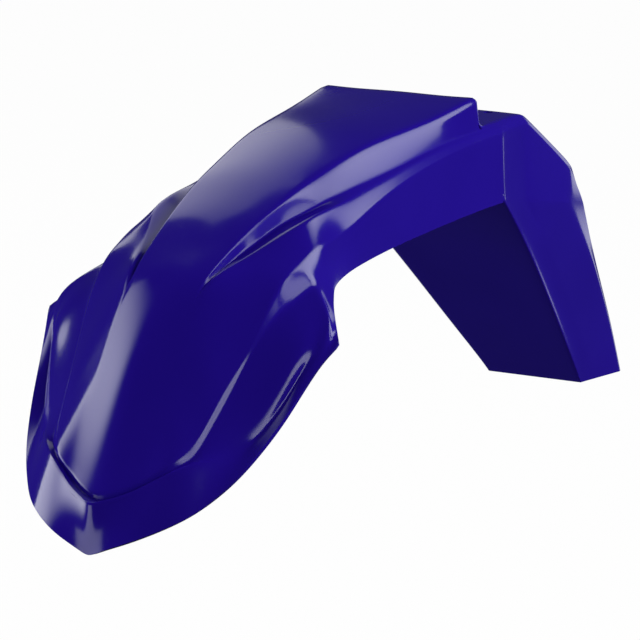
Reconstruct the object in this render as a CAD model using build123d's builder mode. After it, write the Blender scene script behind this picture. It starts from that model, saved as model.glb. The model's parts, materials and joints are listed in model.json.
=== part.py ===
from build123d import *
import os
from math import atan2, cos, radians, sin, tan

# Front mudguard of an off-road motorcycle: one injection-moulded shell with fork cut-outs.
# X points forward, Y to the rider's left and Z up. The origin lies on top of the mounting platform,
# midway between its four fixing holes. All sizes are in millimetres.

os.makedirs("parts", exist_ok=True)

# Moulding and fixing
WALL = 2.8
HOLE_DIAMETER = 6.6
HOLE_SPACING_X = 44.0
HOLE_SPACING_Y = 72.0

# Hood, mounting platform and skirts
HOOD_BACK = 38.0
HOOD_FRONT = 334.0
HOOD_TIP_HALF = 26.5
HOOD_BACK_HALF = 60.0
GROOVE_DEPTH = 3.0
GROOVE_WIDTH = 4.0
GROOVE_FADE = 40.0
HOOD_TIP_SHOULDER = 30.0
SKIRT_BACK = 11.0
SKIRT_BOTTOM = -58.0
SKIRT_HALF = 68.0
SKIRT_CREST_HALF = 66.0
PLATFORM_HALF = 60.0
PLATFORM_DROP = 9.0

# Tongue behind the wheel, as points (X, Z) of its side view
ROOF_EDGE = (-33.0, 0.0)
ROOF_BACK = (-97.0, -43.0)
TONGUE_KNEE = (-150.0, -119.0)
TONGUE_BACK = (-219.0, -227.0)
TONGUE_FRONT = (-155.0, -222.0)
TONGUE_HALF = 38.0
FACET_FALL = 11.5

# Guide lines of the centre panel: rows of station X, half width Y and height Z
CENTRE = [(424, 0, -203), (412, 0, -179), (384, 0, -127), (356, 0, -84), (335, 0, -60.5), (303, 0, -41.5),
          (281, 0, -29), (247, 0, -15), (209, 0, -3), (155, 0, 9), (94, 0, 16), (HOOD_BACK, 0, 21)]
CREST = [(424, 20, -206), (412, 30, -184), (397, 43, -160), (377, 51, -147), (358, 55, -119.5), (339, 60, -96),
         (322, 65.5, -79), (303, 69, -63.5), (281, 71, -51.5), (258, 72, -44), (234, 70, -40), (205, 69, -34.5),
         (133, 67, -21), (HOOD_BACK, SKIRT_CREST_HALF, -10)]
FOOT = [(424, 22, -210), (397, 45, -165), (377, 53, -154), (358, 59.5, -128), (339, 64, -105), (322, 70.5, -88),
        (303, 76, -73), (281, 80, -65), (258, 75, -72), (234, 71, -80), (HOOD_BACK, SKIRT_HALF, -80)]
HOOD = [(HOOD_FRONT, 0, -64), (287, 0, -36), (247, 0, -19), (209, 0, -7), (155, 0, 6), (76, 0, 14.5),
        (HOOD_BACK, 0, 20)]
SHOULDER = [(HOOD_FRONT, HOOD_TIP_SHOULDER, -65), (304, 40, -50), (281, 48, -40), (258, 56, -32),
            (234, 60, -24), (209, 61.5, -18), (133, 63, -6), (80, 64, 0.5), (HOOD_BACK, 64.5, -2)]
STATIONS = [424, 410, 397, 387, 377, 367, 358, 349, HOOD_FRONT, 328, 322, 312, 303, 292, 281, 270, 258, 246,
            234, 220, 205, 180, 155, 125, 94, 66, HOOD_BACK]
PANEL_NOSE = [(412, 0), (397, 44), (377, 53), (339, 78)]

# Guide line of the wing's ledge: rows of station X, inner Y and Z, outer Y and Z
LEDGE = [(440, 40, -203, 60, -203), (421, 40, -187, 60, -187), (403, 30, -172, 60, -172),
         (381, 54, -153, 66, -155), (347, 62, -116, 83, -130), (302, 76, -73, 105, -82),
         (276, 82, -63, 112, -66), (190, 82, -58, 112, -58)]

# Lip: its rim seen square to the sloping rim plane, as distance from the nose tip and half width
RIM_TIP = (424.0, -219.0)
RIM_CORNER = (304.0, -94.0)
RIM_OUTLINE = [(0, 0), (6, 22), (23, 50), (51, 73), (93, 90), (173, 112)]
RIM_FLARE = 0.3
LIP_LEAN = 18.0
LIP_BELOW = 60.0
LIP_ABOVE = 80.0

# Fork cut-out: plan points (X, Y), and the free edge in side view from wing corner to skirt (X, Z)
NOTCH_PLAN = [(304, 113), (278, 92), (258, 82), (238, 76), (205, 70)]
NOTCH_EDGE = [(304, -94), (278, -76), (258, -69), (238, -66), (161, -62)]
RIM_EDGE = [(424, -219), (411, -199), (388, -183), (359, -153), (304, -94)]

# Room round the guard for the cutting bodies
DEEP = 330.0
WIDE = 180.0


def along(guide, x, column):
    """Value of one column of a guide line at station x, on a smooth curve through its rows."""
    rows = sorted((row[0], row[column]) for row in guide)
    slopes = [(b[1] - a[1]) / (b[0] - a[0]) for a, b in zip(rows, rows[1:])]
    if x <= rows[0][0]:
        return rows[0][1] + slopes[0] * (x - rows[0][0])
    if x >= rows[-1][0]:
        return rows[-1][1] + slopes[-1] * (x - rows[-1][0])
    tangents = [slopes[0], *((s + t) / 2 for s, t in zip(slopes, slopes[1:])), slopes[-1]]
    i = max(k for k in range(len(slopes)) if rows[k][0] <= x)
    span = rows[i + 1][0] - rows[i][0]
    t = (x - rows[i][0]) / span
    ends = rows[i][1] * (1 + 2 * t) * (1 - t) ** 2 + rows[i + 1][1] * t * t * (3 - 2 * t)
    return ends + span * t * (1 - t) * (tangents[i] * (1 - t) - tangents[i + 1] * t)


def crown(x, y):
    """Height of the arched centre panel at station x and half width y."""
    top = along(CENTRE, x, 2)
    return top - (top - along(CREST, x, 2)) * (y / along(CREST, x, 1)) ** 2


def spine_half(x):
    """Half section of centre panel, hood, groove and skirt at station x, from the middle outwards."""
    shoulder = (along(SHOULDER, x, 1), along(SHOULDER, x, 2))
    back = (HOOD_FRONT - x) / (HOOD_FRONT - HOOD_BACK)
    hood = (HOOD_TIP_HALF + (HOOD_BACK_HALF - HOOD_TIP_HALF) * back, along(HOOD, x, 2))
    fade = min(1.0, back * (HOOD_FRONT - HOOD_BACK) / GROOVE_FADE)
    valley = (shoulder[0] - GROOVE_WIDTH * fade, shoulder[1] - GROOVE_DEPTH * fade)
    if x >= HOOD_FRONT:
        narrow = along(CREST, x, 1) / along(CREST, HOOD_FRONT, 1)
        middle = (HOOD_TIP_HALF + HOOD_TIP_SHOULDER) / 2
        widths = (HOOD_TIP_HALF, middle, HOOD_TIP_SHOULDER)
        hood, valley, shoulder = [(y * narrow, crown(x, y * narrow)) for y in widths]
    crest = (along(CREST, x, 1), along(CREST, x, 2))
    foot = (along(FOOT, x, 1), along(FOOT, x, 2))
    return [(0, along(CENTRE, x, 2)), hood, valley, shoulder, crest, foot]


def ledge_half(x):
    """Half section of the wing's ledge at station x, carried on past the lip."""
    inner = (along(LEDGE, x, 1), along(LEDGE, x, 2))
    outer = (along(LEDGE, x, 3), along(LEDGE, x, 4))
    fall = (outer[1] - inner[1]) / (outer[0] - inner[0])
    return [(0, inner[1]), inner, (WIDE, outer[1] + fall * (WIDE - outer[0]))]


def body_under(stations, half_section):
    """Solid under a row of half sections."""
    with BuildPart() as body:
        for x in stations:
            half = half_section(x)
            half.append((half[-1][0], -DEEP))
            other = [(-y, z) for y, z in reversed(half[1:])]
            with BuildSketch(Plane.YZ.offset(x)):
                with BuildLine():
                    Polyline(*half, *other, close=True)
                make_face()
        loft(ruled=True)
    return body.part


def lip_prism():
    """Sloping prism whose sides are the lip, leaning in as it rises from the rim plane."""
    run, rise = RIM_TIP[0] - RIM_CORNER[0], RIM_CORNER[1] - RIM_TIP[1]
    slope = atan2(rise, run)
    lean = tan(radians(LIP_LEAN))
    tail = RIM_OUTLINE[-1]
    tail_end = (tail[0] + WIDE, tail[1] + RIM_FLARE * WIDE)
    with BuildPart() as prism:
        for lift in (-LIP_BELOW, LIP_ABOVE):
            rim_plane = Plane(
                origin=(RIM_TIP[0], 0, RIM_TIP[1] + lift),
                x_dir=(-cos(slope), 0, sin(slope)),
                z_dir=(sin(slope), 0, cos(slope)),
            )
            with BuildSketch(rim_plane):
                with BuildLine():
                    half = Spline(*RIM_OUTLINE, tangents=((0, 1), (1, RIM_FLARE)))
                    side = Line(half @ 1, tail_end)
                    mirror(half, about=Plane.XZ)
                    mirror(side, about=Plane.XZ)
                    Line(tail_end, (tail_end[0], -tail_end[1]))
                make_face()
                offset(amount=-lean * lift, kind=Kind.INTERSECTION, mode=Mode.REPLACE)
        loft()
    return prism.part


def fork_clearance():
    """Upright bodies that clear the two fork legs."""
    with BuildPart() as legs:
        with BuildSketch(Plane.XY.offset(-DEEP)):
            with BuildLine():
                edge = Spline(*NOTCH_PLAN)
                outside = [(0, NOTCH_PLAN[-1][1]), (0, 2 * WIDE), (NOTCH_PLAN[0][0], 2 * WIDE)]
                Polyline(edge @ 1, *outside, edge @ 0)
            make_face()
            mirror(about=Plane.XZ)
        extrude(amount=2 * DEEP)
    return legs.part


def wing_body():
    """Both wings: the ledge above, the leaning lip around and the fork cut-outs behind."""
    with BuildPart() as wing:
        add(body_under([row[0] for row in LEDGE], ledge_half))
        add(lip_prism(), mode=Mode.INTERSECT)
        add(fork_clearance(), mode=Mode.SUBTRACT)
    return wing.part


def spine_body():
    """Centre panel with its pointed front step, hood, grooves and skirts."""
    outline = [(x, y) for x, y in PANEL_NOSE] + [(HOOD_BACK - WIDE, WIDE)]
    with BuildPart() as spine:
        add(body_under(STATIONS, spine_half))
        with BuildSketch(Plane.XY.offset(-2 * DEEP)):
            with BuildLine():
                Polyline(*outline)
                mirror(about=Plane.XZ)
                Line(outline[-1], (outline[-1][0], -outline[-1][1]))
            make_face()
        extrude(amount=4 * DEEP, mode=Mode.INTERSECT)
    return spine.part


def facet_prism(inset):
    """Prism of the rear body's front view, running back and falling along the side facets."""
    fall = radians(FACET_FALL)
    tongue_end = (SKIRT_BACK - TONGUE_FRONT[0]) * sin(fall) + TONGUE_FRONT[1] * cos(fall)
    half = [
        (TONGUE_HALF, -DEEP),
        (TONGUE_HALF, tongue_end),
        (SKIRT_HALF, SKIRT_BOTTOM * cos(fall)),
        (SKIRT_CREST_HALF, -PLATFORM_DROP),
        (PLATFORM_HALF, 0),
        (PLATFORM_HALF, WIDE),
    ]
    outline = [(y - inset, z) for y, z in half]
    with BuildPart() as prism:
        rear_plane = Plane(
            origin=(SKIRT_BACK, 0, 0), x_dir=(0, -1, 0), z_dir=(-cos(fall), 0, -sin(fall))
        )
        with BuildSketch(rear_plane):
            with BuildLine():
                Polyline(*outline, *[(-y, z) for y, z in reversed(outline)], close=True)
            make_face()
        extrude(amount=DEEP, both=True)
    return prism.part


def rear_body(inset):
    """Platform, roof and tongue; with an inset it is the room inside, open to the back and below."""
    front = HOOD_BACK + 2 * WALL
    roof_run, roof_drop = ROOF_EDGE[0] - ROOF_BACK[0], ROOF_EDGE[1] - ROOF_BACK[1]
    lower = inset / cos(atan2(roof_drop, roof_run))
    if inset:
        far = (ROOF_BACK[0] - 2 * roof_run, ROOF_BACK[1] - 2 * roof_drop - lower)
        outline = [(front, -inset), (ROOF_EDGE[0], ROOF_EDGE[1] - lower), far, (far[0], -DEEP), (front, -DEEP)]
    else:
        outline = [(front, 0), ROOF_EDGE, ROOF_BACK, TONGUE_KNEE, TONGUE_BACK, TONGUE_FRONT,
                   (SKIRT_BACK, SKIRT_BOTTOM), (front, SKIRT_BOTTOM)]
    with BuildPart() as rear:
        with BuildSketch(Plane.XZ):
            with BuildLine():
                Polyline(*outline, close=True)
            make_face()
        extrude(amount=WIDE, both=True)
        add(facet_prism(inset), mode=Mode.INTERSECT)
    return rear.part


def panel_slab():
    """Flat wheel-side panel of the tongue, carried up to the underside of the hood."""
    run, rise = SKIRT_BACK - TONGUE_FRONT[0], SKIRT_BOTTOM - TONGUE_FRONT[1]
    slope = atan2(rise, run)
    top = (SKIRT_BACK + run / 2, SKIRT_BOTTOM + rise / 2)
    foot = (TONGUE_FRONT[0] - run, TONGUE_FRONT[1] - rise)
    wheel_side = Vector(foot), Vector(top)
    back = Vector(-WALL * sin(slope), WALL * cos(slope))
    with BuildPart() as slab:
        with BuildSketch(Plane.XZ):
            with BuildLine():
                Polyline(*wheel_side, wheel_side[1] + back, wheel_side[0] + back, close=True)
            make_face()
        extrude(amount=WIDE, both=True)
    return slab.part


with BuildPart() as front:
    add(spine_body())
    add(wing_body())

with BuildPart() as front_room:
    add(front.part)
    scale(by=(1, 1 - WALL / SKIRT_HALF, 1), mode=Mode.REPLACE)
    with Locations((HOOD_BACK + 2 * WALL, 0, 0)):
        Box(WIDE, 2 * WIDE, 4 * DEEP, align=(Align.MAX, Align.CENTER, Align.CENTER), mode=Mode.SUBTRACT)

with BuildPart() as rear_room:
    add(rear_body(WALL))
    add(panel_slab(), mode=Mode.SUBTRACT)

with BuildPart() as mudguard:
    add(front.part)
    add(rear_body(0))
    add(front_room.part.moved(Location((-WALL, 0, -WALL))), mode=Mode.SUBTRACT)
    add(rear_room.part, mode=Mode.SUBTRACT)
    with BuildSketch(Plane.XZ):
        with BuildLine():
            lip_edge = Spline(*RIM_EDGE)
            notch_edge = Spline(*NOTCH_EDGE)
            below = [(SKIRT_BACK, SKIRT_BOTTOM), (SKIRT_BACK, -2 * DEEP), (RIM_TIP[0] + WIDE, -2 * DEEP)]
            Polyline(notch_edge @ 1, *below, (RIM_TIP[0] + WIDE, RIM_TIP[1]), lip_edge @ 0)
        make_face()
    extrude(amount=2 * WIDE, both=True, mode=Mode.SUBTRACT)
    with GridLocations(HOLE_SPACING_X, HOLE_SPACING_Y, 2, 2):
        Hole(HOLE_DIAMETER / 2, depth=2 * WALL)

mudguard.part.label = "mudguard_shell"
export_step(mudguard.part, "parts/mudguard_shell.step")
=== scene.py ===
"""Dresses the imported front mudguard: one moulded polypropylene skin on a pale studio floor.

Guide lines are in millimetres in the frame of the CAD model: X forward, Y to the rider's left, Z up,
with the origin on the mounting platform. Only the left half is listed, and the right half mirrors it.
"""

import json
from math import cos, pi, radians, sin, tan

import bmesh
import bpy
from mathutils import Matrix, Vector


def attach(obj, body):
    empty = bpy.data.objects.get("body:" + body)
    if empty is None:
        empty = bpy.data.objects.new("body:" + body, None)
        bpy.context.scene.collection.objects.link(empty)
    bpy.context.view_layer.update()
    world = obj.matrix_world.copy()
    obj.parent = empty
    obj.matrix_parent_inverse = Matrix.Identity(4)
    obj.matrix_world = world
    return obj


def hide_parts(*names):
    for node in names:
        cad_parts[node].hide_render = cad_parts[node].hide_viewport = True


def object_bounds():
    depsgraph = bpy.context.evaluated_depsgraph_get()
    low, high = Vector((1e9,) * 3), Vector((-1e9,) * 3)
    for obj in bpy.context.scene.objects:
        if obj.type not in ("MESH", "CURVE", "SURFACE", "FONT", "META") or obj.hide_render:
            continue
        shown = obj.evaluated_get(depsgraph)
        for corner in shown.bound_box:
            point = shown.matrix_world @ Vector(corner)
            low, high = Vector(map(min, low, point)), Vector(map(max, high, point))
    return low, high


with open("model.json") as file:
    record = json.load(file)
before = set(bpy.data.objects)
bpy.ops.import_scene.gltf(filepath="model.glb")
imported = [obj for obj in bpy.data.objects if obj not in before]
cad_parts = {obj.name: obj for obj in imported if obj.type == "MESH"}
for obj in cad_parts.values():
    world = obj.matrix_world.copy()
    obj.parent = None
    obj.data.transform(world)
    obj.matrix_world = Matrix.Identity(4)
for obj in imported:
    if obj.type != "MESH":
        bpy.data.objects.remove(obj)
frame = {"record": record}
cad_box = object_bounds()

MM = 0.001
WALL = 2.8

# Subdivision of the control cage, rounds in which it is pulled through its guide points, and how far a
# control point may leave its guide, as a share of the shortest edge that meets there
SUBDIVISIONS = 3
GUIDE_PASSES = 10
GUIDE_REACH = 0.45

# Lines that run round the nose, one point for each station from the middle of the nose (0) past the
# corner of the centre panel (6) to the wing corner (12)
RIM = [(424, 0, -220), (424, 12, -215.5), (422.8, 23, -211), (419.5, 34, -206.5), (413.5, 46, -201.2),
       (405.5, 57, -195.5), (396, 66.1, -189), (384.5, 75.3, -178.8), (371, 83.9, -165.5),
       (355, 91.7, -148.7), (340, 97.7, -132.5), (322.9, 104.2, -113.8), (304, 112, -94)]
LIP_CREASE = [(421, 0, -187), (416.5, 12.5, -183.8), (411, 23.5, -179.5), (406, 32, -174.8),
              (400.5, 42, -168.8), (394, 51.2, -164), (385.5, 60, -161.3), (372.1, 70.1, -159.3),
              (359.7, 78.3, -153.2), (347, 85.5, -142), (334.5, 91.6, -126.9), (318.7, 98.7, -104.8),
              (303, 106, -85.5)]
FOOT = [(413.5, 0, -187.2), (410, 13.3, -183.9), (405.4, 23.6, -179.5), (401.8, 31.2, -174.9),
        (397.4, 40.4, -168.9), (391, 48.1, -163.6), (383, 53.9, -159.4), (370.2, 57.3, -145),
        (354, 61.5, -125.5), (337.4, 66, -104.8), (321.6, 70.8, -87.3), (303.8, 75.2, -73.9),
        (280.5, 81, -64)]
PANEL_EDGE = [(412, 0, -181.5), (408.5, 13.5, -178.3), (404, 23.5, -173.6), (400.8, 31, -169.6),
              (396.7, 40, -164.3), (390, 46.8, -158.8), (382, 51.7, -153.6), (370, 55.3, -139.6),
              (354, 59.2, -120), (337, 63.5, -100.5), (321, 66.5, -80.5), (303, 69, -61.5),
              (281, 70.7, -50.5)]
CORNER = 6

# How far the wing's surface bulges at stations 0 to 11, at a share of the way from its foot to its lip
# crease, and in which direction
WING_BULGE = [0, 0, 0, 0, 0, 0, 0, 0, 0.6, 2.2, 4, 4.8]
BULGE_SHARE = 0.66
BULGE_DIRECTION = (0.55, 0.68, 0.48)

# Middle line of the centre panel (X, Z) at stations 7 to 12, and how far its columns lie towards the
# panel edge at stations 7 and 8
MIDDLE = {7: (380, -120.5), 8: (359, -88.7), 9: (338, -63.5), 10: (320, -50.5), 11: (303, -41),
          12: (281, -28.5)}
PANEL_COLUMNS = {7: [0, 0.25, 0.44, 0.54, 0.65, 0.83, 1], 8: [0, 0.23, 0.43, 0.485, 0.55, 0.77, 1]}

# Hood crest, groove and shoulder (Y, Z) at stations 9 to 12
HOOD = {9: ((25, -65), (26.5, -65.8), (28.5, -66.2)), 10: ((27.5, -53.5), (29.2, -57), (34, -55)),
        11: ((29.7, -43.2), (32, -49.6), (39.5, -48.3)), 12: ((32.4, -32), (37, -40.6), (48, -39.8))}

# Shares of the way from the middle to the hood crest at which the hood's arch lies, in X, Y and Z, and
# rise of the shoulder halfway to the skirt crease
HOOD_ARCH = (0.5, 0.55, 0.3)
SHOULDER_RISE = 0.6

# Sections behind the wings: X, then (Y, Z) of the middle, hood crest, groove, shoulder, skirt crease,
# upper and lower wall and free edge, with X again for a point that lies off its section
SECTIONS = [
    (258, (0, -18), (36, -22.7), (41, -32.8), (56.7, -30.3),
     (72, -43.5), (75.5, -57), (79, -63.5), (82, -69)),
    (234, (0, -8.5), (39, -14), (48.5, -26.3), (60, -25.4),
     (70, -41), (71.5, -52.5), (73.5, -60.5), (75.3, -66.7)),
    (205, (0, 0.5), (42, -5.6), (55.5, -18.6), (61.5, -22.5),
     (68.8, -33.8), (69.5, -47), (70.3, -56.5), (70.8, -64.7)),
    (155, (0, 11), (48.6, 5.8), (60.5, -12.6), (63.5, -14.5),
     (67.5, -21.3), (67.7, -40), (67.9, -52), (68, -61.5)),
    (94, (0, 17), (56, 12.5), (61.5, -4.8), (64, -6.8),
     (66.3, -12.3), (67, -35), (67.5, -47), (68, -58)),
    (40, (0, 21), (61, 19.8), (62, -2.8), (64, -4.6),
     (66, -9.3, 52), (67, -33.5, 56), (67.5, -45.5, 58), (68, -56.7, 60)),
    (34.5, (0, 0.3), (60, 0.3), (62, -1.6), (63.8, -4),
     (66, -8.5, 33), (67, -32.5, 35), (67.5, -44.8, 36), (68, -56, 37)),
    (12, (0, 0), (57, 0), (60, -0.6), (62.8, -2.8),
     (66, -7.5), (67, -32), (67.5, -44), (68, -55.3)),
    (3, (0, 0), (56.4, 0), (59.2, -0.6), (61.8, -2.8),
     (64.4, -7.5), (65.5, -32.2), (66.1, -45), (66.6, -57)),
    (-24, (0, 0), (54.5, 0), (57.2, -0.6), (59.6, -2.8),
     (61.6, -7.5), (62.7, -33), (63.3, -48), (63.8, -62)),
    (-36, (0, -2.3), (54.2, -2.3), (56.9, -2.9), (59.2, -5),
     (61.2, -9.5), (62.4, -34), (63, -49.5), (63.5, -64.3)),
    (-68, (0, -22), (53.2, -22), (55.7, -22.4), (57.6, -24),
     (59.7, -29), (60.9, -46), (61.7, -58), (62.4, -70)),
]

# Places in that list of the last section with a creased shoulder, the hood's back, its foot on the
# platform, the vertical crease where the skirt ends and the tongue begins, and the fold of the roof
SHOULDER_END, HOOD_BACK, HOOD_FOOT, SKIRT_END, ROOF_FOLD = 2, 5, 6, 7, 10

# Back of the roof and walls: the last fold, then the free edge, as points (X, Y, Z) of the same lines
BACK_FOLD = [(-100, 0, -42.3), (-100, 52, -42.3), (-100.5, 54.3, -42.8), (-101, 56.4, -44.5),
             (-101, 58.5, -50), (-100, 59.7, -60), (-98, 60.4, -68), (-96.5, 61, -75)]
BACK_EDGE = [(-107, 0, -47), (-107, 51, -47), (-107.5, 53, -47.5), (-109, 55, -50), (-112, 56, -57),
             (-117, 56.2, -66), (-122, 56.2, -73), (-127, 56, -81)]

# Tongue: lower end of the fold towards the wheel, how far its panel bows away from the wheel, and the
# back fold and free edge below the walls
TONGUE_FRONT = (-155.5, 39, -222)
PANEL_BOW = [1.6, 1.6, 0.8, 0]
TONGUE_FOLD = [(-134, 55.7, -113), (-166, 49.7, -151), (-194, 44, -189), (-215.5, 40, -225.5)]
TONGUE_EDGE = [(-149, 51, -114), (-173, 47, -151), (-197.5, 43, -189), (-219, 39, -225.5)]

# Flange of the fork cut-out: middle of the rib, and the free edge below the rib's middle and top
RIB_MIDDLE = (291, 93, -73)
NOTCH_EDGE = [(283, 96, -79), (270, 88, -73)]

# Upper panel between the skirts, as rise along the panel and half width, its top under the hood (Y, Z),
# and how its columns share the half width
PANEL_RISE = [(24.5, 65.6), (46.5, 62)]
PANEL_TOP = [(0, 15), (19, 14.3), (38, 12.8), (56, 8)]
PANEL_SHARES = [0, 0.33, 0.67, 1]

# Fixing holes in the platform, the sides and length of the drill that cuts them, and the angle in
# degrees from which an edge is shaded sharp
HOLES = frame["record"]["mounts"][0]["dims"]
DRILL_SIDES = 40
DRILL_DEPTH = 12
SHARP_ANGLE = 55

# Polypropylene: colours, IOR (matched to the object's reflections, lower than the usual 1.49), sizes in
# millimetres of its flow clouds, orange peel and specks, and the peel's height (drawn a little coarser
# than real, so that it shows). Roughness follows the clouds' grey values, and the specks, which are the
# brightest parts of their noise, add to it.
RESIN_DEEP = "#1F0A8C"
RESIN_LIGHT = "#230C96"
RESIN_IOR = 1.36
CLOUD_SIZE = 60
PEEL_SIZE = 2.4
PEEL_HEIGHT = 0.006
SPECK_SIZE = 3.5
CLOUD_GREYS = (0.3, 0.7)
CLOUD_ROUGHNESS = (0.1, 0.14)
SPECK_GREYS = (0.62, 0.8)
SPECK_ROUGHNESS = (0, 0.1)

# Camera of the photograph, for a picture of 640 by 640 pixels: place of its target, distance, angles in
# degrees and focal length
CAMERA_TARGET = (146.3, 0, -121.5)
CAMERA_DISTANCE = 2746.3
CAMERA_AZIMUTH = 31.978
CAMERA_ELEVATION = 12.285
CAMERA_ROLL = -0.522
CAMERA_FOCAL_PIXELS = 4038
PICTURE_PIXELS = 640
SENSOR_WIDTH = 36

# Floor: how far it lies below the object, and its corners along and across the camera's view, in metres
# from the camera's target. It lies low and behind, so that the tongue's panel doesn't mirror it.
FLOOR_DROP = 0.35
FLOOR_CORNERS = [(-0.7, -0.33), (-0.7, 0.33), (-5.4, 0.7), (-5.4, -0.7)]
PAPER_COLOUR = "#D8D8D8"
PAPER_GLOW = 0.98
WHITE = (1, 1, 1, 1)

# Light: the point that the soft boxes face, in millimetres, their distance in metres and the strength of
# the dim room. Each box has its azimuth, elevation, width and height in degrees, its radiance, and where
# it fades from full to none across and up, as shares of its sides.
LIGHT_CENTRE = (200, 0, -60)
LIGHT_DISTANCE = 3
ROOM_LIGHT = 0.04
SOFT_BOXES = [
    ("left_box", -66, 20, 30, 62, 7.3, (0.45, 1), (0.35, 1)),
    ("back_box", -133.6, 35, 22, 46, 1.4, (0.5, -0.5), (0.5, 1.6)),
    ("right_box", 131, 32, 24, 54, 7.2, (0.5, 1.3), (0.7, 1.1)),
    ("right_strip", 102, 38, 14, 30, 4.6, (0.8, 1.2), (0.7, 1.2)),
    ("front_box", 66, 19, 40, 22, 5.4, (0.25, -0.05), (0.6, 1.05)),
    ("rear_box", 180, -6, 16, 40, 1, (0.7, 1.2), (0.8, 1.2)),
    ("low_box", -30, -14, 26, 30, 3.4, (0.8, 1.2), (0.8, 1.2)),
]


def between(a, b, share):
    """Point that lies a share of the way from a to b."""
    return tuple(p + (q - p) * share for p, q in zip(a, b))


def bulged(foot, lip, rise):
    """Point of a wing section between its foot and lip crease, with the wing's bulge added."""
    return tuple(c + rise * d for c, d in zip(between(foot, lip, BULGE_SHARE), BULGE_DIRECTION))


def panel_row(station):
    """Points of the centre panel at a station from its middle to its edge."""
    edge = PANEL_EDGE[station]
    x, z = MIDDLE[station]
    if station in PANEL_COLUMNS:
        return [(x + (edge[0] - x) * f, edge[1] * f, z + (edge[2] - z) * f * f)
                for f in PANEL_COLUMNS[station]]
    hood, groove, shoulder = ((edge[0], *point) for point in HOOD[station])
    return section_top((x, 0, z), hood, groove, shoulder, edge)


def section_top(middle, hood, groove, shoulder, crest):
    """Points across the top of a section, with the hood's arch and the shoulder's bulge added."""
    arch = tuple(m + (h - m) * share for m, h, share in zip(middle, hood, HOOD_ARCH))
    x, y, z = between(shoulder, crest, 0.5)
    return [middle, arch, hood, groove, shoulder, (x, y, z + SHOULDER_RISE), crest]


def section_points():
    """Points (X, Y, Z) of every section behind the wings, with the back's fold and free edge last."""
    sections = [[(p[2] if p[2:] else x, *p[:2]) for p in points] for x, *points in SECTIONS]
    return sections + [BACK_FOLD, BACK_EDGE]


def guard_patches():
    """Control patches of the left half, each a list of rows of points, its creased lines and corners."""
    rim, lip, foot, edge = RIM, LIP_CREASE, FOOT, PANEL_EDGE
    sections = section_points()
    nose_tops = [edge[:CORNER + 1]] + [panel_row(station) for station in MIDDLE]
    back_tops = [section_top(*points[:5]) for points in sections]
    tops = nose_tops + back_tops
    crest = [row[-1] for row in tops[len(MIDDLE):]]

    notch_top = NOTCH_EDGE[-1]
    walls = [[foot[-1], between(foot[-1], notch_top, 0.5), notch_top]]
    walls += [points[5:8] for points in sections]
    upper_wall = [row[0] for row in walls]

    rib = [foot[-1], RIB_MIDDLE, lip[-1]]
    lip_line = lip + [rib[1], rib[0]]
    rim_line = rim + NOTCH_EDGE
    lip_rows = [[a, between(a, b, 0.5), b] for a, b in zip(lip_line, rim_line)]

    # Walls and crest have one row before the sections. The walls' lower edge from the vertical crease
    # back is the spine from which the tongue hangs.
    skirt_end = SKIRT_END + 1
    spine = [row[-1] for row in walls[skirt_end:]]
    fold_top = spine[0]
    tongue = [spine]
    shares = [(fold_top[0] - p[0]) / (fold_top[0] - spine[-2][0]) for p in spine[:-1]]
    for k, (back, free) in enumerate(zip(TONGUE_FOLD, TONGUE_EDGE), start=1):
        x, y, z = between(fold_top, TONGUE_FRONT, k / len(TONGUE_FOLD))
        fold = (x - PANEL_BOW[k - 1], y, z + PANEL_BOW[k - 1])
        tongue.append([between(fold, back, share) for share in shares] + [free])

    panel = [[(fold_top[0] + z - fold_top[2], y, z) for y, z in PANEL_TOP]]
    for rise, half in reversed(PANEL_RISE):
        panel.append([(fold_top[0] + rise, half * f, fold_top[2] + rise) for f in PANEL_SHARES])
    for row in tongue:
        x, half, z = row[0]
        panel.append([(x, half * f, z) for f in PANEL_SHARES])

    patches = {
        "lip": lip_rows,
        "ledge": [[a, bulged(a, b, rise), b] for a, b, rise in zip(foot, lip, WING_BULGE)] + [rib],
        "step": list(zip(edge, foot)),
        "top": tops,
        "skirt": list(zip(crest, upper_wall)),
        "wall": walls,
        "tongue": tongue,
        "panel": panel,
    }

    # Lines with their sharpness, from the nose to the back. Slices of the lip count stations.
    hood_rows = tops[len(PANEL_COLUMNS) + 1:]
    shoulder_rows = nose_tops[len(PANEL_COLUMNS) + 1:] + back_tops[:SHOULDER_END + 1]
    creases = [
        (lip[:CORNER], 0.58),
        (lip[8:12], 0.66),
        (lip[11:], 0.3),
        (lip_rows[0], 0.3),
        (rib, 0.4),
        (foot, 0.5),
        (edge, 0.52),
        ([edge[-1], foot[-1]], 0.5),
        (crest, 0.75),
        ([row[2] for row in hood_rows], 0.48),
        ([row[3] for row in hood_rows], 0.58),
        ([row[4] for row in shoulder_rows], 0.5),
        (back_tops[HOOD_BACK][:3], 0.5),
        (back_tops[HOOD_FOOT][:3], 0.5),
        (back_tops[ROOF_FOLD], 0.4),
        (walls[skirt_end], 0.85),
        ([crest[skirt_end], upper_wall[skirt_end]], 0.85),
        (spine, 0.75),
        (BACK_FOLD, 0.4),
        ([row[-2] for row in tongue], 0.4),
        ([row[0] for row in tongue], 0.12),
    ]
    corners = [
        (edge[CORNER], 0.5), (rim[-1], 0.8), (foot[-1], 0.5), (edge[-1], 0.4),
        (back_tops[HOOD_BACK][2], 0.4), (fold_top, 0.7), (spine[-2], 0.5), (spine[-1], 0.4),
        (tongue[-1][0], 0.8), (tongue[-1][-2], 0.4), (tongue[-1][-1], 0.8),
    ]
    return patches, creases, corners


def mirrored(point):
    """The same point on the right half."""
    return (point[0], -point[1], point[2])


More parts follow.
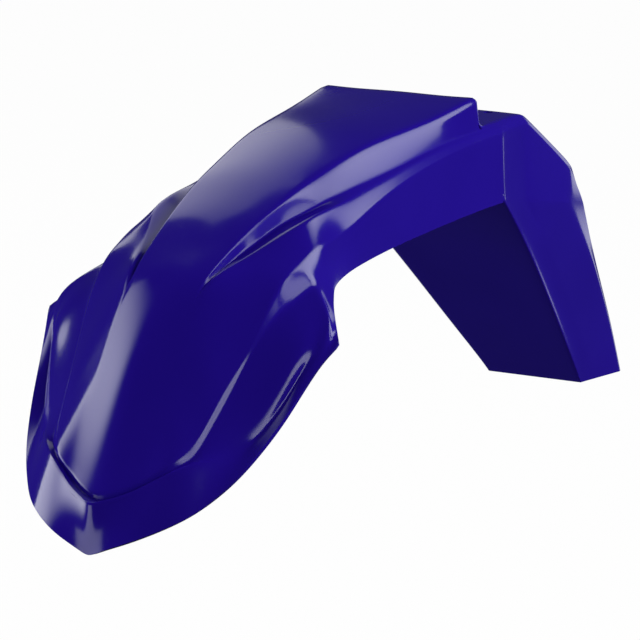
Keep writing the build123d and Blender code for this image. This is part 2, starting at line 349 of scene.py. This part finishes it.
def build_cage():
    """Control mesh of the whole skin, welded along the patches' shared lines, with its creases set."""
    patches, creases, corners = guard_patches()
    cage = bmesh.new()
    crease = cage.edges.layers.float.new("crease_edge")
    corner = cage.verts.layers.float.new("crease_vert")
    vertices = {}

    def vertex(point):
        key = tuple(round(c, 3) + 0.0 for c in point)
        if key not in vertices:
            vertices[key] = cage.verts.new(Vector(key) * MM)
        return vertices[key]

    for rows in patches.values():
        for side in (tuple, mirrored):
            for row, next_row in zip(rows, rows[1:]):
                for i in range(len(row) - 1):
                    ring = [row[i], row[i + 1], next_row[i + 1], next_row[i]]
                    cage.faces.new([vertex(side(point)) for point in ring])
    for line, sharpness in creases:
        for side in (tuple, mirrored):
            for a, b in zip(line, line[1:]):
                edge = cage.edges.get((vertex(side(a)), vertex(side(b))))
                if edge:
                    edge[crease] = sharpness
    for point, sharpness in corners:
        for side in (tuple, mirrored):
            vertex(side(point))[corner] = sharpness
    bmesh.ops.recalc_face_normals(cage, faces=cage.faces)
    hood_top = max(cage.faces, key=lambda face: face.calc_center_median().z)
    if hood_top.normal.z < 0:
        bmesh.ops.reverse_faces(cage, faces=cage.faces)
    mesh = bpy.data.meshes.new("mudguard_cage")
    cage.to_mesh(mesh)
    cage.free()
    return mesh


def add_smoothing(cage):
    """Subdivision modifier that rounds the cage."""
    smooth = cage.modifiers.new("smooth", "SUBSURF")
    smooth.levels = SUBDIVISIONS
    smooth.render_levels = SUBDIVISIONS
    return smooth


def shortest_edges(mesh):
    """Length of the shortest edge that meets at each vertex."""
    lengths = [[] for _ in mesh.vertices]
    for edge in mesh.edges:
        a, b = edge.vertices
        for end in (a, b):
            lengths[end].append((mesh.vertices[a].co - mesh.vertices[b].co).length)
    return [min(meeting) for meeting in lengths]


def pull_through_guides(cage):
    """Moves the control points until the smooth surface passes through the guide points."""
    smooth = add_smoothing(cage)
    targets = [vertex.co.copy() for vertex in cage.data.vertices]
    reach = [GUIDE_REACH * length for length in shortest_edges(cage.data)]
    for _ in range(GUIDE_PASSES):
        depsgraph = bpy.context.evaluated_depsgraph_get()
        surface = cage.evaluated_get(depsgraph).data.vertices
        misses = [target - surface[i].co for i, target in enumerate(targets)]
        for vertex, miss, target, limit in zip(cage.data.vertices, misses, targets, reach):
            offset = vertex.co + miss - target
            vertex.co = target + offset * min(1, limit / max(offset.length, limit))
        cage.data.update_tag()
        bpy.context.view_layer.update()
    cage.modifiers.remove(smooth)


def add_node(tree, kind, settings=None, inputs=None):
    """Node of one kind with its settings, and its inputs set to values or linked to outputs."""
    node = tree.nodes.new(kind)
    for name, value in (settings or {}).items():
        setattr(node, name, value)
    for name, value in (inputs or {}).items():
        if isinstance(value, bpy.types.NodeSocket):
            tree.links.new(value, node.inputs[name])
        else:
            node.inputs[name].default_value = value
    return node


def drill_tree(material):
    """Node tree that drills the platform's pattern of fixing holes through the shell."""
    tree = bpy.data.node_groups.new("fixing_holes", "GeometryNodeTree")
    tree.interface.new_socket("Geometry", in_out="INPUT", socket_type="NodeSocketGeometry")
    for name in ("Spacing X", "Spacing Y", "Hole Radius", "Depth"):
        tree.interface.new_socket(name, in_out="INPUT", socket_type="NodeSocketFloat")
    tree.interface.new_socket("Geometry", in_out="OUTPUT", socket_type="NodeSocketGeometry")
    given = add_node(tree, "NodeGroupInput").outputs
    pattern = add_node(tree, "GeometryNodeMeshGrid", inputs={
        "Size X": given["Spacing X"], "Size Y": given["Spacing Y"], "Vertices X": 2, "Vertices Y": 2})
    drill = add_node(tree, "GeometryNodeMeshCylinder", inputs={
        "Vertices": DRILL_SIDES, "Radius": given["Hole Radius"], "Depth": given["Depth"]})
    drills = add_node(tree, "GeometryNodeInstanceOnPoints", inputs={
        "Points": pattern.outputs["Mesh"], "Instance": drill.outputs["Mesh"]})
    tools = add_node(tree, "GeometryNodeRealizeInstances", inputs={"Geometry": drills.outputs["Instances"]})
    cut = add_node(tree, "GeometryNodeMeshBoolean", {"operation": "DIFFERENCE", "solver": "EXACT"}, {
        "Mesh 1": given["Geometry"], "Mesh 2": tools.outputs["Geometry"]})
    whole = add_node(tree, "GeometryNodeRealizeInstances", inputs={"Geometry": cut.outputs["Mesh"]})
    coloured = add_node(tree, "GeometryNodeSetMaterial", inputs={
        "Geometry": whole.outputs["Geometry"], "Material": material})
    add_node(tree, "NodeGroupOutput", inputs={"Geometry": coloured.outputs["Geometry"]})
    return tree


def build_skin(material):
    """The moulded shell: the cage rounded by subdivision, given its wall and drilled."""
    cage = bpy.data.objects.new("mudguard_cage", build_cage())
    bpy.context.collection.objects.link(cage)
    pull_through_guides(cage)
    add_smoothing(cage)
    wall = cage.modifiers.new("wall", "SOLIDIFY")
    wall.thickness = WALL * MM
    wall.offset = -1
    drill = cage.modifiers.new("drill", "NODES")
    drill.node_group = drill_tree(material)
    sizes = {"Spacing X": HOLES["spacing_x_mm"], "Spacing Y": HOLES["spacing_y_mm"],
             "Hole Radius": HOLES["hole_r_mm"], "Depth": DRILL_DEPTH}
    for socket in drill.node_group.interface.items_tree:
        if socket.name in sizes:
            drill[socket.identifier] = sizes[socket.name] * MM
    depsgraph = bpy.context.evaluated_depsgraph_get()
    mesh = bpy.data.meshes.new_from_object(cage.evaluated_get(depsgraph))
    bpy.data.objects.remove(cage)
    mesh.name = "mudguard_skin"
    mesh.shade_smooth()
    mesh.set_sharp_from_angle(angle=radians(SHARP_ANGLE))
    skin = bpy.data.objects.new("mudguard_skin", mesh)
    bpy.context.collection.objects.link(skin)
    return skin


def to_linear(code):
    """Linear colour of an sRGB hex value."""
    channels = [int(code[i:i + 2], 16) / 255 for i in (1, 3, 5)]
    return tuple(c / 12.92 if c <= 0.04045 else ((c + 0.055) / 1.055) ** 2.4 for c in channels) + (1,)


def blue_polypropylene():
    """Injection-moulded polypropylene from a polished tool, coloured right through.

    The tool gives a glossy skin with a faint orange peel. The resin's flow leaves wide, weak clouds in
    colour and gloss, and handling leaves a dusting of duller specks.
    """
    material = bpy.data.materials.new("blue_polypropylene")
    material.use_nodes = True
    tree = material.node_tree
    shader = tree.nodes["Principled BSDF"]
    shader.inputs["IOR"].default_value = RESIN_IOR
    place = add_node(tree, "ShaderNodeTexCoord").outputs["Object"]
    cloud, peel, speck = (
        add_node(tree, "ShaderNodeTexNoise", inputs={
            "Vector": place, "Scale": 1 / (size * MM), "Detail": detail, "Roughness": 0.5}).outputs[0]
        for size, detail in ((CLOUD_SIZE, 2), (PEEL_SIZE, 1), (SPECK_SIZE, 3)))
    colour = add_node(tree, "ShaderNodeMix", {"data_type": "RGBA"}, {
        0: cloud, 6: to_linear(RESIN_DEEP), 7: to_linear(RESIN_LIGHT)})
    tree.links.new(colour.outputs[2], shader.inputs["Base Color"])
    clouded, dulled = (
        add_node(tree, "ShaderNodeMapRange", inputs={
            "Value": grey, "From Min": low, "From Max": high, "To Min": smooth, "To Max": rough}).outputs[0]
        for grey, (low, high), (smooth, rough) in (
            (cloud, CLOUD_GREYS, CLOUD_ROUGHNESS), (speck, SPECK_GREYS, SPECK_ROUGHNESS)))
    roughness = add_node(tree, "ShaderNodeMath", {"operation": "ADD"}, {0: clouded, 1: dulled})
    tree.links.new(roughness.outputs[0], shader.inputs["Roughness"])
    bump = add_node(tree, "ShaderNodeBump", inputs={
        "Height": peel, "Distance": PEEL_HEIGHT * MM, "Strength": 1})
    tree.links.new(bump.outputs[0], shader.inputs["Normal"])
    return material


def direction_to(azimuth, elevation):
    """Direction at an azimuth and elevation in radians."""
    return Vector((cos(azimuth) * cos(elevation), sin(azimuth) * cos(elevation), sin(elevation)))


def set_camera():
    """Camera of the photograph, from the angles and focal length of its fitted view."""
    azimuth, elevation, roll = radians(CAMERA_AZIMUTH), radians(CAMERA_ELEVATION), radians(CAMERA_ROLL)
    back = direction_to(azimuth, elevation)
    level = Vector((-sin(azimuth), cos(azimuth), 0))
    upright = back.cross(level)
    right = cos(roll) * level + sin(roll) * upright
    up = cos(roll) * upright - sin(roll) * level
    place = (Vector(CAMERA_TARGET) + back * CAMERA_DISTANCE) * MM
    data = bpy.data.cameras.new("photo_camera")
    data.sensor_width = SENSOR_WIDTH
    data.sensor_fit = "HORIZONTAL"
    data.lens = CAMERA_FOCAL_PIXELS / PICTURE_PIXELS * SENSOR_WIDTH
    camera = bpy.data.objects.new("photo_camera", data)
    camera.matrix_world = Matrix.Translation(place) @ Matrix((right, up, back)).transposed().to_4x4()
    bpy.context.collection.objects.link(camera)
    bpy.context.scene.camera = camera


def white_paper():
    """Seamless studio paper: coated white stock, which the lens and reflections see almost pure white."""
    material = bpy.data.materials.new("white_paper")
    material.use_nodes = True
    tree = material.node_tree
    tree.nodes.clear()
    rays = add_node(tree, "ShaderNodeLightPath").outputs
    seen = rays["Is Camera Ray"]
    for ray in ("Is Glossy Ray", "Is Transmission Ray"):
        seen = add_node(tree, "ShaderNodeMath", {"operation": "MAXIMUM"}, {0: seen, 1: rays[ray]}).outputs[0]
    level = add_node(tree, "ShaderNodeMath", {"operation": "MULTIPLY"}, {0: seen, 1: PAPER_GLOW})
    paper = add_node(tree, "ShaderNodeBsdfDiffuse", inputs={"Color": to_linear(PAPER_COLOUR)})
    glow = add_node(tree, "ShaderNodeEmission", inputs={"Color": WHITE, "Strength": 1})
    total = add_node(tree, "ShaderNodeMixShader", inputs={
        0: level.outputs[0], 1: paper.outputs[0], 2: glow.outputs[0]})
    add_node(tree, "ShaderNodeOutputMaterial", inputs={"Surface": total.outputs[0]})
    return material


def set_floor():
    """Sheet of paper below and behind the object, which widens along the camera's view."""
    azimuth = radians(CAMERA_AZIMUTH)
    view, side = Vector((cos(azimuth), sin(azimuth), 0)), Vector((-sin(azimuth), cos(azimuth), 0))
    middle = Vector((CAMERA_TARGET[0] * MM, CAMERA_TARGET[1] * MM, cad_box[0][2] - FLOOR_DROP))
    corners = [middle + view * along + side * across for along, across in FLOOR_CORNERS]
    mesh = bpy.data.meshes.new("floor")
    mesh.from_pydata(corners, [], [(0, 1, 2, 3)])
    mesh.materials.append(white_paper())
    floor = bpy.data.objects.new("floor", mesh)
    bpy.context.collection.objects.link(floor)


def soft_box(name, azimuth, elevation, width, height, radiance, fade_across, fade_up):
    """Soft box at a direction from the object, sized by angles and fading across and up its face."""
    direction = direction_to(radians(azimuth), radians(elevation))
    data = bpy.data.lights.new(name, "AREA")
    data.shape = "RECTANGLE"
    data.size = 2 * LIGHT_DISTANCE * tan(radians(width / 2))
    data.size_y = 2 * LIGHT_DISTANCE * tan(radians(height / 2))
    data.energy = radiance * pi * data.size * data.size_y
    data.use_nodes = True
    tree = data.node_tree
    face = add_node(tree, "ShaderNodeNewGeometry").outputs["Parametric"]
    place = add_node(tree, "ShaderNodeSeparateXYZ", inputs={0: face}).outputs
    across, up = (
        add_node(tree, "ShaderNodeMapRange", {"interpolation_type": "SMOOTHSTEP"}, {
            "Value": share, "From Min": start, "From Max": end, "To Min": 1, "To Max": 0}).outputs["Result"]
        for share, (start, end) in ((place[0], fade_across), (place[1], fade_up)))
    level = add_node(tree, "ShaderNodeMath", {"operation": "MULTIPLY"}, {0: across, 1: up})
    tree.links.new(level.outputs[0], tree.nodes["Emission"].inputs["Strength"])
    light = bpy.data.objects.new(name, data)
    turn = (-direction).to_track_quat("-Z", "Y").to_matrix().to_4x4()
    light.matrix_world = Matrix.Translation(Vector(LIGHT_CENTRE) * MM + direction * LIGHT_DISTANCE) @ turn
    bpy.context.collection.objects.link(light)


def set_light():
    """Soft boxes round the object in a dim room, which the lens sees as white."""
    for box in SOFT_BOXES:
        soft_box(*box)
    world = bpy.data.worlds.new("room")
    bpy.context.scene.world = world
    world.use_nodes = True
    tree = world.node_tree
    lens = add_node(tree, "ShaderNodeLightPath").outputs["Is Camera Ray"]
    level = add_node(tree, "ShaderNodeMapRange", inputs={"Value": lens, "To Min": ROOM_LIGHT, "To Max": 1})
    background = tree.nodes["Background"]
    background.inputs["Color"].default_value = WHITE
    tree.links.new(level.outputs[0], background.inputs["Strength"])


bpy.context.scene.view_settings.view_transform = "Standard"
skin = build_skin(blue_polypropylene())
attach(skin, "root")
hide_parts("mudguard_shell")
set_camera()
set_floor()
set_light()
